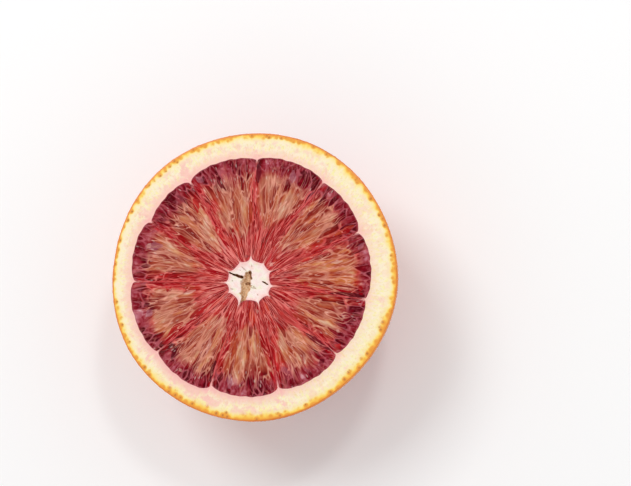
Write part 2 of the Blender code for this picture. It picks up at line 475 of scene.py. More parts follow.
pulp = {
    "columns": 110,
    "rows": 200,
    "membrane": 0.17,  # half the thickness of the skin between two segments
    "edgeDrop": 0.42,
    "crownDrop": 0.14,
    "membraneDrop": 0.04,
    "fan": 0.45,  # how much more the vesicles close up towards the core than the segment does
    # how far each membrane bows to its left on the way out: once, and in an S
    "bows": (
        (-0.25, 0.15), (0.85, 0.45), (0.20, -0.20), (-0.30, 0.15), (0.25, 0.20), (-0.15, -0.15),
        (0.30, 0.15), (-0.20, 0.20), (0.25, -0.15), (-0.20, -0.20), (0.15, 0.20),
    ),
    # for each segment: lean of its vesicles, then its tan patch: middle and half width across the segment,
    # inner and outer end along it, and warmth. Last comes the reach of the purple inwards from the peel.
    "character": (
        (0.00, 0.62, 0.38, 0.10, 0.86, 0.45, 3.4), (-0.20, 0.50, 0.46, 0.22, 0.88, 0.00, 4.6),
        (-0.12, 0.40, 0.46, 0.12, 0.84, 0.05, 4.4), (-0.30, 0.50, 0.38, 0.12, 0.84, 0.20, 3.6),
        (-0.22, 0.46, 0.40, 0.18, 0.88, 0.15, 3.8), (0.05, 0.55, 0.38, 0.24, 0.85, 0.25, 3.2),
        (0.12, 0.52, 0.44, 0.10, 0.88, 0.15, 3.8), (-0.02, 0.52, 0.40, 0.16, 0.88, 0.40, 4.2),
        (-0.12, 0.56, 0.36, 0.26, 0.84, 0.35, 4.2), (-0.08, 0.54, 0.40, 0.20, 0.84, 0.45, 4.2),
        (0.00, 0.50, 0.44, 0.10, 0.84, 1.00, 3.4),
    ),
    # rows of vesicles: place along the segment, length and width
    "vesicles": (
        (0.04, 5.0, 1.1), (0.17, 8.0, 1.3), (0.33, 10.0, 1.6), (0.52, 11.0, 1.8), (0.71, 10.0, 1.9),
        (0.85, 6.5, 1.9), (0.95, 4.2, 1.8),
    ),
    # how far a vesicle may lie from its place, across and along, then how its length and width vary
    "strayAcross": 0.4,
    "strayAlong": 0.10,
    "lengths": (0.7, 1.4),
    "widths": (0.75, 1.3),
    "strandSize": 0.6,  # width of the strands inside the vesicles, as a share
    "relief": 0.12,
    "bulge": 0.8,  # how far into a vesicle its top is reached
    "levels": 0.35,  # how much higher or lower one vesicle stands than the next
    "seamDepth": 0.12,
    "edgeLip": 0.05,  # depth at the peel and at the core
    # noise: scale, seed and strength
    "sway": ((0.3, 20, 0.5), (0.9, 30, 0.12)),
    "wobble": ((0.9, 90, 0.5), (2.3, 91, 0.4)),
    "segmentStep": 7.3,  # keeps the noise of one segment away from that of the next
    # single marks in the pulp: direction and radius of each end, seen from the middle of the face, and
    # half width
    "marks": {
        "crimson": (
            (13, 12.4, 21, 19.6, 0.65), (25, 25.0, 25, 27.0, 0.60), (78, 12.0, 83, 6.6, 0.50),
            (59, 11.4, 61, 6.3, 0.40), (58, 18.0, 59, 10.3, 0.35), (125, 25.8, 131, 21.6, 0.70),
            (119, 22.0, 122, 18.3, 0.45), (126, 16.4, 129, 12.2, 0.50), (151, 22.1, 156, 16.8, 0.70),
            (158, 15.8, 173, 8.2, 0.75), (187, 21.2, 189, 22.0, 0.85), (212, 14.3, 213, 18.9, 0.65),
            (213, 21.4, 215, 26.1, 0.80), (251, 12.0, 252, 13.0, 0.70), (242, 12.6, 242, 14.0, 0.50),
            (284, 16.7, 288, 9.7, 0.35), (281, 13.8, 285, 27.5, 0.50), (321, 8.0, 331, 10.0, 0.80),
            (341, 11.2, 343, 16.0, 0.60), (321, 20.5, 319, 23.4, 0.50), (320, 27.2, 320, 28.4, 1.00),
            (352, 12.9, 352, 14.2, 0.50), (353, 26.8, 353, 27.8, 0.60), (113, 13.0, 121, 8.5, 0.50),
            (179, 17.5, 179, 25.0, 0.40), (188, 11.3, 188, 14.0, 0.45), (248, 12.0, 249, 15.0, 0.40),
            (277, 13.8, 279, 20.0, 0.40), (346, 5.6, 359, 7.0, 0.40),
        ),
        "brown": (
            (26, 15.2, 27, 16.2, 0.90), (26, 23.0, 26, 28.2, 0.55), (92, 18.8, 93, 12.5, 0.55),
            (150, 15.0, 150, 16.2, 0.70), (190, 15.4, 189, 17.8, 0.80), (253, 14.3, 255, 20.5, 0.95),
            (317, 14.0, 321, 19.0, 0.70),
        ),
        "maroon": (
            (47, 28.4, 48, 29.4, 0.70), (56, 28.2, 57, 29.0, 0.60), (63, 28.4, 64, 29.4, 0.70),
            (222, 26.3, 225, 29.1, 0.60), (246, 23.3, 248, 28.3, 0.60), (309, 27.0, 309, 28.0, 0.70),
            (87, 23.8, 87, 28.8, 0.60), (313, 20.0, 317, 27.5, 0.70), (347, 20.0, 349, 28.0, 0.60),
            (102, 5.2, 113, 5.4, 0.30),
        ),
        # pale marks are painted highlights on the wet pulp
        "pale": (
            (132, 12.9, 140, 8.7, 0.30), (235, 18.4, 239, 22.7, 0.40), (277, 8.4, 277, 9.4, 0.30),
            (303, 23.5, 301, 25.7, 0.25), (327, 25.0, 327, 26.0, 0.30), (231, 29.6, 233, 29.9, 0.30),
            (162, 27.5, 165, 28.0, 0.45), (31, 5.0, 33, 6.0, 0.40), (9, 20.0, 9, 23.0, 0.35),
            (193, 15.0, 194, 18.0, 0.40),
        ),
        # lavender marks are painted sheen near the peel
        "lavenderSheen": (
            (161, 24.6, 164, 28.2, 0.90), (67, 25.6, 69, 28.4, 0.70), (257, 25.4, 258, 28.4, 0.80),
            (198, 27.0, 200, 28.8, 0.70), (14, 27.4, 16, 29.0, 0.60), (118, 27.2, 120, 29.0, 0.60),
        ),
    },
    "seed": 7,
}


def segmentSheet():
    # a closed slab: a fine top, a wall round it and one face below
    bm = bmesh.new()
    bmesh.ops.create_grid(bm, x_segments=pulp["columns"], y_segments=pulp["rows"], size=1)
    edge = [e for e in bm.edges if e.is_boundary]
    made = bmesh.ops.extrude_edge_only(bm, edges=edge)["geom"]
    for vert in made:
        if isinstance(vert, bmesh.types.BMVert):
            vert.co.z = -1
    below = [item for item in made if isinstance(item, bmesh.types.BMEdge)]
    bmesh.ops.contextual_create(bm, geom=below)
    return bm


def fanned(number, share, along):
    # place across the fan of vesicles, which closes up towards the core
    lean = pulp["character"][number][0]
    return 0.5 + (share - 0.5) * (1 + pulp["fan"] * (1 - along)) - lean * (1 - along)


def bowed(number, share, along, flat):
    # the membranes on both sides pull the pulp between them along
    for member, weight in ((number, 1 - share), ((number + 1) % len(face["segments"]), share)):
        ends = coreEdge(member, 0.0), peelEdge(member, 0.0)
        heading = (ends[1] - ends[0]) / np.linalg.norm(ends[1] - ends[0])
        left = np.array((-heading[1], heading[0]))
        once, twice = pulp["bows"][member]
        bow = once * np.sin(np.pi * along) + twice * np.sin(2 * np.pi * along)
        flat = flat + (bow * weight)[:, None] * left
    return flat


def vesicleField(number, share, along, width, length, where, size, rng):
    # the vesicle that each point is in, how far inside it the point is, and on which side of its middle,
    # which sets the side where shade is painted
    seeds = []
    for place, longness, wide in pulp["vesicles"]:
        across = float(np.interp(place, (0, 1), (width[0], width[1])))
        wide = wide * size
        count = max(3, round(across / wide))
        for k in range(count + 4):
            u = (k - 1.5 + rng.uniform(-pulp["strayAcross"], pulp["strayAcross"])) / count
            v = place + rng.uniform(-pulp["strayAlong"], pulp["strayAlong"])
            long = longness * rng.uniform(*pulp["lengths"])
            seeds.append((u, v, long, wide * rng.uniform(*pulp["widths"])))
    seeds = np.array(seeds)
    localWidth = mixed(width[0], width[1], along) / (1 + pulp["fan"] * (1 - along))
    here = fanned(number, share, along) + layered(where, pulp["sway"], number) / localWidth
    dx = (here[:, None] - fanned(number, seeds[:, 0], seeds[:, 1])) * localWidth[:, None] / seeds[:, 3]
    dy = (along[:, None] - seeds[:, 1]) * length / seeds[:, 2]
    gap = np.sqrt(dx * dx + dy * dy)
    order = np.argpartition(gap, 1, axis=1)[:, :2]
    two = np.take_along_axis(gap, order, axis=1)
    near = np.where(two[:, 0] < two[:, 1], order[:, 0], order[:, 1])
    side = np.take_along_axis(dx, near[:, None], axis=1)[:, 0]
    tone = rng.uniform(-1, 1, len(seeds))[near]
    return tone, np.abs(two[:, 0] - two[:, 1]), side * np.where(np.abs(tone * 7 % 1) > 0.5, 1, -1)


def fromStroke(points, a, b):
    # distance to a straight stroke, and the share of the stroke nearest to each point
    a, b = np.array(a), np.array(b)
    share = np.clip((points - a) @ (b - a) / ((b - a) @ (b - a)), 0, 1)
    return np.linalg.norm(points - a - share[:, None] * (b - a), axis=1), share


def markMask(kind, flat, fray):
    # fray roughens the outline of the marks
    mask = np.zeros(len(flat))
    for turnA, radiusA, turnB, radiusB, wide in pulp["marks"][kind]:
        start, end = polar(radiusA, math.radians(turnA)), polar(radiusB, math.radians(turnB))
        gap, share = fromStroke(flat, start, end)
        gap = gap / (wide * mixed(0.3, 1.0, np.sin(np.pi * share)))
        mask = np.maximum(mask, 1 - smooth(0.7, 1.6, gap + fray))
    return mask


def makeSegment(number, material):
    rng = np.random.default_rng(pulp["seed"] + number)
    mesh = meshFrom("pulp_%02d" % (number + 1), segmentSheet())
    points = coordinates(mesh)
    t = (points[:, 0] + 1) / 2
    share = np.clip(crowded(t), 0, 1)
    along = np.clip((points[:, 1] + 1) / 2, 0, 1)
    below = points[:, 2] < -0.5
    inner, outer = coreEdge(number, share), peelEdge(number, share)
    flat = bowed(number, share, along, mixed(inner, outer, along[:, None]))
    innerWidth = np.linalg.norm(coreEdge(number, 0.0) - coreEdge(number, 1.0))
    outerWidth = np.linalg.norm(peelEdge(number, 0.0) - peelEdge(number, 1.0))
    length = np.linalg.norm(coreEdge(number, 0.5) - peelEdge(number, 0.5))
    width = mixed(innerWidth, outerWidth, along)
    side = np.minimum(share, 1 - share) * width
    ends = np.minimum(along, 1 - along) * np.linalg.norm(outer - inner, axis=1)
    fromPeel = (1 - along) * np.linalg.norm(outer - inner, axis=1)
    where = lifted(flat)
    place = (number, share, along, (innerWidth, outerWidth), length, where)
    tone, inside, side1 = vesicleField(*place, 1.0, rng)
    strandTone, strandInside, _ = vesicleField(*place, pulp["strandSize"], rng)
    across = fanned(number, share, along) * (innerWidth + outerWidth) / 2
    fan = np.stack((across, along * length, np.full(len(along), number * pulp["segmentStep"])), axis=1)
    # the membranes, thicker and thinner by turns, with a thin dark seam where two skins part
    wobble = layered(where, pulp["wobble"])
    flare = 1 + 0.5 * smooth(0.93, 1.0, along) + 0.8 * smooth(0.08, 0.0, along)
    skin = pulp["membrane"] * (1 + 0.8 * wobble) * flare
    membrane = 1 - smooth(skin * 0.6, skin * 1.6, side)
    # a second strand runs beside the membrane here and there
    strandAt = 0.75 + 0.5 * latticeNoise(where * 0.5, number + 60)
    second = 1 - smooth(0.08, 0.26, np.abs(side - strandAt))
    second = second * smooth(-0.1, 0.35, latticeNoise(where * 0.3, number + 65)) * smooth(0.98, 0.8, along)
    parting = smooth(0.05, 0.5, latticeNoise(where * 0.35, 92)) * (1 - smooth(0.04, 0.16, side))
    crown = arch(share, 2) * arch(along, 4)
    drop = mixed(pulp["edgeDrop"], pulp["crownDrop"], crown)
    bulge = np.sqrt(np.clip(inside / pulp["bulge"], 0, 1))
    level = np.sin(tone * 9)
    shoulder = smooth(0.0, 0.9, np.minimum(side, ends))
    drop = drop + pulp["relief"] * (0.5 - bulge + pulp["levels"] * level) * shoulder
    drop = mixed(drop, pulp["membraneDrop"] + 0.03 * wobble, membrane) + pulp["seamDepth"] * parting
    drop = mixed(drop, pulp["edgeLip"], 1 - smooth(0.0, 0.55, ends))
    drop = np.clip(drop, 0.01, None)
    drop[below] = face["slabDepth"]
    setCoordinates(mesh, placed(flat, drop))
    # masks for the material
    _, middle, half, inner, outer, warm, purpleReach = pulp["character"][number]
    broad = latticeNoise(where * (0.22, 0.22, 1), number + 80)
    spread = half * mixed(0.55, 1.0, smooth(inner, inner + 0.4, along))
    tanShare = 1 - smooth(0.50, 1.45, np.abs(share - middle) / spread + 0.25 * broad)
    tanShare = tanShare * smooth(inner, inner + 0.28, along)
    tanShare = tanShare * (1 - smooth(outer - 0.12, outer + 0.12, along))
    purple = 1 - smooth(0.2, 1.9, fromPeel / (purpleReach * (1 + 0.35 * broad + 0.12 * tone)))
    setVector(mesh, "zones", np.stack((tanShare, purple, np.full(len(along), warm)), axis=1))
    setVector(mesh, "vesicle", np.stack((tone, inside, side1), axis=1))
    setVector(mesh, "strand", np.stack((strandTone, strandInside, 0 * along), axis=1))
    fray = latticeNoise(fan * (2.4, 0.7, 1), 55) * 0.45
    marks = [markMask(kind, flat, fray) for kind in ("crimson", "brown", "pale")]
    setVector(mesh, "marks", np.stack(marks, axis=1))
    setVector(mesh, "skins", np.stack((membrane, parting, markMask("maroon", flat, fray)), axis=1))
    setMask(mesh, "along", along)
    setMask(mesh, "rimline", 1 - smooth(0.05, 0.40, ends + 0.12 * wobble))
    beside = 1 - smooth(0.4, 2.2, side + 0.8 * broad)
    setVector(mesh, "flank", np.stack((second, beside, markMask("lavenderSheen", flat, fray)), axis=1))
    setVector(mesh, "fan", fan)
    return finished(mesh.name, mesh, material)


def pulpMaterial():
    material, shader = newMaterial("pulp")
    n = Nodes(material.node_tree)
    fan = n.attribute("fan", "Vector")
    along = n.attribute("along")
    tan, purple, warm = n.parts(n.attribute("zones", "Vector"))
    tone, inside, shadedSide = n.parts(n.attribute("vesicle", "Vector"))
    strandTone, strandInside, _ = n.parts(n.attribute("strand", "Vector"))
    crimson, brown, pale = n.parts(n.attribute("marks", "Vector"))
    membrane, parting, maroon = n.parts(n.attribute("skins", "Vector"))
    # fibres along the vesicles, wider ones near the core and blunt ones near the peel
    outward = n.remap(along, 0.12, 0.5)
    blunt = n.remap(along, 0.76, 0.94)

    def fibres(inner, middle, outer, distortion):
        made = [n.noise(n.vector("MULTIPLY", fan, (a, b, 1)), 1.0, 2.0, 0.6, distortion)
                for a, b in (inner, middle, outer)]
        return n.blend(blunt, n.blend(outward, made[0], made[1]), made[2])

    def streaks(shift, stretch, detail, roughness, distortion=0.0):
        # noise drawn out along the vesicles
        place = n.vector("MULTIPLY", n.vector("ADD", fan, shift), (*stretch, 1))
        return n.noise(place, 1.0, detail, roughness, distortion)

    coarse = fibres((0.24, 0.12), (0.6, 0.16), (0.55, 0.34), 0.3)
    fine = fibres((0.55, 0.22), (1.4, 0.3), (1.3, 0.7), 0.0)
    # thin light skins that run along the vesicles
    drift = streaks((7, 3, 9), (0.6, 0.09), 1.0, 0.5, 0.6)
    lines = n.math("MAXIMUM", n.ridge(drift, 0.46, 0.025), n.ridge(drift, 0.57, 0.025))
    inmost = streaks((3, 8, 1), (0.30, 0.08), 1.0, 0.5, 0.4)
    furrow = n.times(n.ridge(inmost, 0.50, 0.035), n.remap(along, 0.5, 0.15, 0, 0.9))
    inmost = n.math("MAXIMUM", n.ridge(inmost, 0.44, 0.030), n.ridge(inmost, 0.56, 0.030))
    inmost = n.times(inmost, n.remap(along, 0.45, 0.15, 0, 0.9))
    patch = streaks((31, 17, 5), (0.8, 0.4), 2.0, 0.55, 0.2)
    # 0 is light and 1 is dark: the fibres' and vesicles' own tones, with painted shade on one side of each
    #                           vesicle
    shade = n.times(coarse, 1.55)
    for value, amount in ((fine, 0.4), (tone, 0.24), (strandTone, 0.17), (shadedSide, 0.24)):
        shade = n.plus(shade, value, amount)
    # painted light and shade: a vesicle is lighter along its middle and darker towards its edges
    shade = n.math("ADD", shade, n.remap(inside, 0.1, 0.8, 0.13, -0.15))
    shade = n.math("SUBTRACT", shade, 0.34)
    flesh = n.ramp(shade, (
        (0.05, 232, 196, 170), (0.30, 208, 156, 130), (0.55, 188, 118, 94),
        (0.80, 174, 90, 70), (1.00, 150, 52, 42),
    ))
    ochre = n.ramp(shade, (
        (0.05, 226, 168, 114), (0.30, 208, 130, 76), (0.55, 192, 98, 50),
        (0.80, 172, 66, 38), (1.00, 146, 26, 14),
    ))
    red = n.ramp(shade, (
        (0.05, 224, 116, 112), (0.28, 200, 52, 54), (0.50, 184, 14, 24),
        (0.74, 160, 0, 14), (1.00, 118, 0, 10),
    ))
    violet = n.ramp(shade, (
        (0.05, 210, 148, 158), (0.28, 182, 96, 108), (0.50, 150, 38, 52),
        (0.74, 122, 0, 22), (1.00, 92, 0, 16),
    ))
    rosy = n.ramp(shade, (
        (0.05, 216, 146, 134), (0.28, 192, 108, 98), (0.50, 168, 68, 64),
        (0.74, 140, 14, 22), (1.00, 104, 0, 12),
    ))
    brick = n.ramp(shade, (
        (0.05, 226, 136, 114), (0.28, 206, 94, 74), (0.50, 186, 54, 38),
        (0.74, 160, 14, 8), (1.00, 126, 0, 2),
    ))
    red = n.mix(n.remap(n.plus(strandTone, tone, 0.6), -0.1, 0.8, 0.1, 0.75), red, brick)
    amber = streaks((13, 41, 2), (0.55, 0.22), 2.0, 0.6)
    amber = n.math("ADD", n.times(warm, 0.6), n.remap(amber, 0.38, 0.64, -0.15, 0.6))
    flesh = n.mix(amber, flesh, ochre)
    patchy = n.math("SUBTRACT", patch, 0.5)
    tanShare = n.plus(n.plus(n.plus(tan, patchy, 0.9), tone, -0.12), strandTone, -0.10)
    colour = n.mix(n.remap(tanShare, 0.0, 0.85), red, flesh)
    purpleShare = n.plus(n.plus(purple, patchy, 0.6), tone, 0.12)
    colour = n.mix(n.remap(purpleShare, -0.1, 0.45), colour, rosy)
    colour = n.mix(n.remap(purpleShare, 0.25, 0.95), colour, violet)
    # beside the membranes the red is deeper
    second, beside, lavenderSheen = n.parts(n.attribute("flank", "Vector"))
    beside = n.math("MAXIMUM", beside, n.remap(along, 0.34, 0.06, 0, 0.8))
    deep = n.times(beside, n.remap(coarse, 0.36, 0.54, 0.2, 0.95))
    colour = n.mix(deep, colour, n.mix(1.0, colour, (0.87, 0.24, 0.28, 1), "MULTIPLY"))
    # patches of crimson close to the membranes
    stains = streaks((5, 60, 9), (0.4, 0.13), 2.0, 0.6, 0.4)
    close = n.times(n.remap(beside, 0.45, 0.95), n.remap(stains, 0.44, 0.56))
    colour = n.mix(close, colour, n.ramp(shade, ((0.15, 204, 48, 54), (0.6, 158, 0, 18))))
    # near the core, clear flesh shows pink between the reds, and some of it is orange
    clear = streaks((21, 7, 33), (0.22, 0.16), 2.0, 0.6, 0.5)
    inner = n.times(n.remap(along, 0.03, 0.14), n.remap(along, 0.55, 0.3))
    pink = n.ramp(shade, ((0.1, 232, 170, 152), (0.6, 200, 104, 92), (1.0, 160, 30, 36)))
    colour = n.mix(n.times(inner, n.remap(clear, 0.55, 0.66, 0, 0.75)), colour, pink)
    orange = n.ramp(shade, ((0.1, 224, 112, 66), (0.6, 202, 58, 34), (1.0, 158, 14, 10)))
    colour = n.mix(n.times(inner, n.remap(clear, 0.46, 0.36, 0, 0.8)), colour, orange)
    # each vesicle: a pale skin, and painted shade in a band beside it on one side
    gap = n.times(n.remap(inside, 0.10, 0.2), n.remap(inside, 0.62, 0.26))
    gap = n.times(gap, n.remap(shadedSide, -0.05, 0.15))
    gap = n.times(gap, n.remap(tanShare, 0.1, 0.8, 0.6, 0.4))
    colour = n.mix(gap, colour, n.mix(1.0, colour, (0.72, 0.20, 0.22, 1), "MULTIPLY"))
    wallColour = n.mix(n.remap(tanShare, 0.2, 0.7), srgb(218, 88, 84), srgb(230, 154, 130))
    wallColour = n.mix(n.remap(purpleShare, 0.3, 0.75), wallColour, srgb(182, 88, 98))
    wall = n.times(n.remap(inside, 0.13, 0.03), n.remap(coarse, 0.36, 0.58, 0.25, 0.9))
    strandWall = n.times(n.remap(strandInside, 0.22, 0.05), n.remap(fine, 0.46, 0.62, 0.0, 0.4))
    wall = n.times(n.math("MAXIMUM", wall, strandWall), n.remap(along, 0.1, 0.35, 0.35, 1))
    wall = n.times(wall, n.remap(tanShare, 0.1, 0.7, 1, 0.7))
    colour = n.mix(wall, colour, wallColour)
    second = n.times(second, n.remap(coarse, 0.4, 0.6, 0.1, 0.8))
    colour = n.mix(second, colour, srgb(228, 98, 96))
    # crimson furrows run out from the core
    colour = n.mix(n.times(furrow, n.remap(fine, 0.35, 0.6, 0.4, 1)), colour, srgb(160, 0, 18))
    # single marks
    frayed = n.times(n.math("SUBTRACT", fine, 0.5), 0.6)
    marks = (
        (brown, 0.15, 0.7, 0.8, (208, 100, 62), (160, 40, 18)),
        (crimson, 0.12, 0.65, 0.9, (206, 40, 42), (150, 0, 10)),
        # painted sheen
        (lavenderSheen, 0.1, 0.9, 0.6, (214, 166, 174), (160, 88, 102)),
        (maroon, 0.15, 0.7, 0.85, (136, 26, 44), (84, 0, 16)),
        # painted highlights
        (pale, 0.3, 0.9, 0.55, (240, 206, 190), (206, 140, 128)),
    )
    for mask, low, high, strength, lit, shaded in marks:
        share = n.times(n.remap(n.math("ADD", mask, frayed), low, high), strength)
        colour = n.mix(share, colour, n.ramp(shade, ((0.15, *lit), (0.75, *shaded))))
    lineStrength = n.times(n.remap(patch, 0.4, 0.6, 0.2, 0.75), n.remap(blunt, 0, 1, 1, 0.3))
    lineShare = n.math("MAXIMUM", n.times(lines, lineStrength), inmost)
    lineColour = n.mix(n.remap(tanShare, 0.2, 0.7), srgb(240, 134, 126), srgb(236, 164, 142))
    colour = n.mix(lineShare, colour, lineColour)
    # painted highlights: short gleams along the vesicles
    gleamAt = n.vector("MULTIPLY", fan, (1.9, 0.42, 1))
    gleams = n.add("ShaderNodeTexVoronoi", {"Vector": gleamAt, "Scale": 1.0})
    pick = n.remap(n.math("ADD", n.parts(gleams.outputs["Color"])[0], patch), 1.04, 1.14)
    gleam = n.times(n.remap(gleams.outputs["Distance"], 0.26, 0.10), pick)
    colour = n.mix(n.times(gleam, 0.5), colour, n.mix(0.6, colour, srgb(255, 224, 214)))
    # the edge against the peel and the core, and the membranes
    edge = n.times(n.attribute("rimline"), n.remap(fine, 0.3, 0.6, 0.2, 0.7))
    colour = n.mix(edge, colour, srgb(176, 84, 96))
    membraneColour = n.ramp(along, (
        (0.0, 242, 170, 160), (0.10, 228, 112, 104), (0.5, 218, 92, 86),
        (0.9, 214, 100, 102), (1.0, 244, 184, 178),
    ))
    membraneColour = n.mix(n.remap(fine, 0.42, 0.62, 0, 0.75), membraneColour, srgb(184, 34, 42))
    colour = n.mix(n.times(membrane, 0.92), colour, membraneColour)
    colour = n.mix(n.times(parting, 0.85), colour, srgb(146, 10, 22))
    n.join(colour, shader.inputs["Base Color"])
    n.join(n.remap(fine, 0.3, 0.7, 0.12, 0.30), shader.inputs["Roughness"])
    shader.inputs["IOR"].default_value = 1.36
    shader.inputs["Specular IOR Level"].default_value = 0.14
    height = n.plus(n.times(fine, 0.5), n.remap(strandInside, 0, 0.7), 0.5)
    n.join(n.bump(height, 0.9, 0.12 * mm), shader.inputs["Normal"])
    return material


pulpSkin = pulpMaterial()
for number in range(len(face["segments"])):
    piece = makeSegment(number, pulpSkin)
    if number == 0:
        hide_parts(node)
print("pulp made")

# Pith: the spongy white ring, with a spike between each two segments

pith = {
    "perSegment": 90,  # columns of points beside each segment
    "rows": 22,
    "rowCrowding": 1.25,
    "relief": 0.05,
    "reliefScale": 1.4,
    # where the cut is pinker and where its yellow reaches deeper: direction, spread and how much it adds
    "blush": ((232, 34, 0.45), (275, 20, 0.20), (130, 45, 0.30), (335, 40, -0.25)),
    "zest": ((318, 36, 0.40), (256, 28, 0.45), (50, 60, 0.15), (168, 22, -0.20)),
    "notchBlush": 0.40,  # added where a membrane meets the pith
}


def faceMaterial():
    material, shader = newMaterial("cut peel")
    n = Nodes(material.node_tree)
    inward = n.attribute("fromRim")
    edge = n.attribute("fromPulp")
    where = n.attribute("ring", "Vector")  # a point on a circle of the rim's size, then the radius
    wander = n.noise(n.vector("MULTIPLY", where, (0.9, 0.9, 0.5)), 1.0, 3.0, 0.6)
    broad = n.noise(n.vector("MULTIPLY", where, (0.22, 0.22, 0.0)), 1.0, 2.0, 0.5)
    # oil glands cut open under the skin: amber beads in yellow
    beadAt = n.vector("MULTIPLY", where, (0.72, 0.72, 0.62))
    bead = n.add("ShaderNodeTexVoronoi", {"Vector": beadAt, "Scale": 1.0}).outputs["Distance"]
    depth = n.plus(inward, n.math("SUBTRACT", wander, 0.5), -1.0)
    depth = n.plus(depth, n.math("SUBTRACT", bead, 0.45), 0.9)
    zest = n.times(n.attribute("zest"), n.remap(broad, 0.3, 0.7, 0.8, 1.25))
    depth = n.math("DIVIDE", depth, zest)
    colour = n.ramp(n.remap(depth, 0.0, 4.0, kind="LINEAR"), (
        (0.00, 212, 116, 42),
        (0.07, 238, 146, 42),
        (0.18, 247, 178, 54),
        (0.29, 254, 214, 92),
        (0.40, 253, 230, 150),
        (0.58, 253, 237, 196),
        (0.95, 253, 238, 208),
    ))
    band = n.times(n.remap(inward, 0.1, 0.45), n.remap(depth, 1.7, 1.0))

    def drops(outer, inner, strength):
        return n.times(n.remap(bead, outer, inner), band, strength)

    colour = n.mix(drops(0.60, 0.34, 0.85), colour, srgb(238, 156, 44))
    colour = n.mix(drops(0.28, 0.14, 0.75), colour, srgb(188, 112, 36))
    # the pith is mottled with yellow and pink
    deep = n.remap(inward, 1.2, 2.4)
    fleckAt = n.vector("MULTIPLY", where, (1.6, 1.6, 0.9))
    colour, flecks = n.mottle(fleckAt, 1.0, 3.0, 0.7, 0.48, 0.62, n.times(deep, 0.85),
                              colour, srgb(250, 240, 166))
    cloudStrength = n.times(deep, n.attribute("blush"))
    cloudAt = n.vector("ADD", where, (50, 0, 0))
    colour, clouds = n.mottle(cloudAt, 0.45, 3.0, 0.65, 0.44, 0.62, cloudStrength,
                              colour, srgb(251, 200, 186))
    grainAt = n.vector("ADD", n.vector("MULTIPLY", where, (1.0, 1.0, 0.7)), (0, 80, 0))
    colour, _ = n.mottle(grainAt, 2.2, 2.0, 0.6, 0.56, 0.68, n.times(deep, 0.55),
                         colour, srgb(242, 206, 150))
    reach = n.plus(edge, n.math("SUBTRACT", clouds, 0.5), 4.0)
    blush = n.times(n.remap(reach, 2.6, 0.0), n.attribute("blush"))
    colour = n.mix(blush, colour, srgb(250, 188, 180))
    gland = n.times(n.remap(bead, 0.45, 0.2), band)
    # the skin outside
    spot = n.millimetres()
    patches = n.noise(spot, 0.04, 2.0, 0.5)
    skin = n.ramp(patches, (
        (0.36, 240, 132, 40),
        (0.48, 232, 96, 34),
        (0.60, 206, 54, 30),
        (0.72, 160, 24, 26),
    ))
    skin, mottle = n.mottle(spot, 0.6, 3.0, 0.6, 0.35, 0.7, 0.25, skin, srgb(246, 140, 56))
    skin = n.mix(n.times(n.attribute("pore"), 0.5), skin, srgb(156, 34, 14))
    # amber where the cut ends the skin
    height = n.plus(n.parts(spot)[2], n.math("SUBTRACT", mottle, 0.5), 6.0)
    skin = n.mix(n.remap(height, 31.5, 35.0, 0, 0.8), skin, srgb(232, 142, 50))
    colour = n.mix(n.attribute("skin"), colour, skin)
    n.join(colour, shader.inputs["Base Color"])
    n.join(n.remap(n.attribute("skin"), 0, 1, 0.55, 0.27), shader.inputs["Roughness"])
    rough = n.plus(n.times(flecks, 0.6), gland, -0.8)
    n.join(n.bump(rough, 0.5, 0.10 * mm), shader.inputs["Normal"])
    return material


def faceMasks(mesh, flat, fromPulp, notch):
    angle = np.arctan2(flat[:, 1], flat[:, 0])
    radius = np.hypot(flat[:, 0], flat[:, 1])
    setMask(mesh, "fromRim", rimRadius(angle) - radius)
    setMask(mesh, "fromPulp", fromPulp)

    def varied(level, places):
        for direction, spread, amount in places:
            away = (np.degrees(angle) - direction + 180) % 360 - 180
            level = level + amount * np.exp(-(away / spread) ** 2)
        return level

    setMask(mesh, "blush", varied(0.50 + pith["notchBlush"] * notch, pith["blush"]))
    setMask(mesh, "zest", varied(0.75, pith["zest"]))
    circle = polar(np.full(len(angle), face["rimRadius"]), angle)
    setVector(mesh, "ring", np.concatenate((circle, radius[:, None]), axis=1))


cutPeel = faceMaterial()


def makePith():
    rows = pith["rows"] + 2  # one more ring below at each side
    bm = spunSheet(rows, pith["perSegment"] * len(face["segments"]))
    bmesh.ops.bridge_loops(bm, edges=rimOf(bm, 1) + rimOf(bm, rows))
    mesh = meshFrom("pith", bm)
    row, turn = rowsAndTurns(coordinates(mesh))
    number, share = segmentShares(turn, pith["perSegment"])
    share = crowded(share)
    inner = edgePlaces(peelEdge, number, share)
    angle = np.arctan2(inner[:, 1], inner[:, 0])
    outer = polar(rimRadius(angle) - face["splitInset"], angle)
    along = np.clip((row - 1) / (pith["rows"] - 1), 0, 1) ** pith["rowCrowding"]
    flat = mixed(inner, outer, along[:, None])
    reach = np.linalg.norm(flat - inner, axis=1)
    spot = lifted(flat * pith["reliefScale"])
    level = pith["relief"] * (1 + latticeNoise(spot, 5)) * smooth(0, 0.6, reach) * smooth(1, 0.8, along)
    drop = np.where((row == 0) | (row == rows - 1), face["slabDepth"], level)
    setCoordinates(mesh, placed(flat, drop))
    faceMasks(mesh, flat, reach, 1 - smooth(0.0, 0.12, np.minimum(share, 1 - share)))
    return finished("pith", mesh, cutPeel)


makePith()
print("pith made")

# Rind: the outer ring of the cut, the rim and the dimpled skin of the dome

rind = {
    "columns": 640,
    "faceRows": 14,
    "rimRows": 5,
    "domeRows": 118,
    "endRows": 6,
    "rimRounding": 0.35,
    "domeDepth": 35.2,
    "domeFullness": 2.1,
    "domeWaves": ((3, 0.30, 40), (4, 0.22, 15)),
    "flatRadius": 7.0,  # of the flat spot that the half stands on
    "poreSpacing": 1.25,
    "poreStray": 0.3,  # how far a pore may lie from its place, as a share of the spacing
    "poreRadius": 0.55,
    "poreDepth": 0.09,
    "undulation": 0.10,
    "undulationScale": 0.22,
    "flatShrink": 0.97,  # how far the rows of the flat spot close in on its middle
    "seed": 3,
}


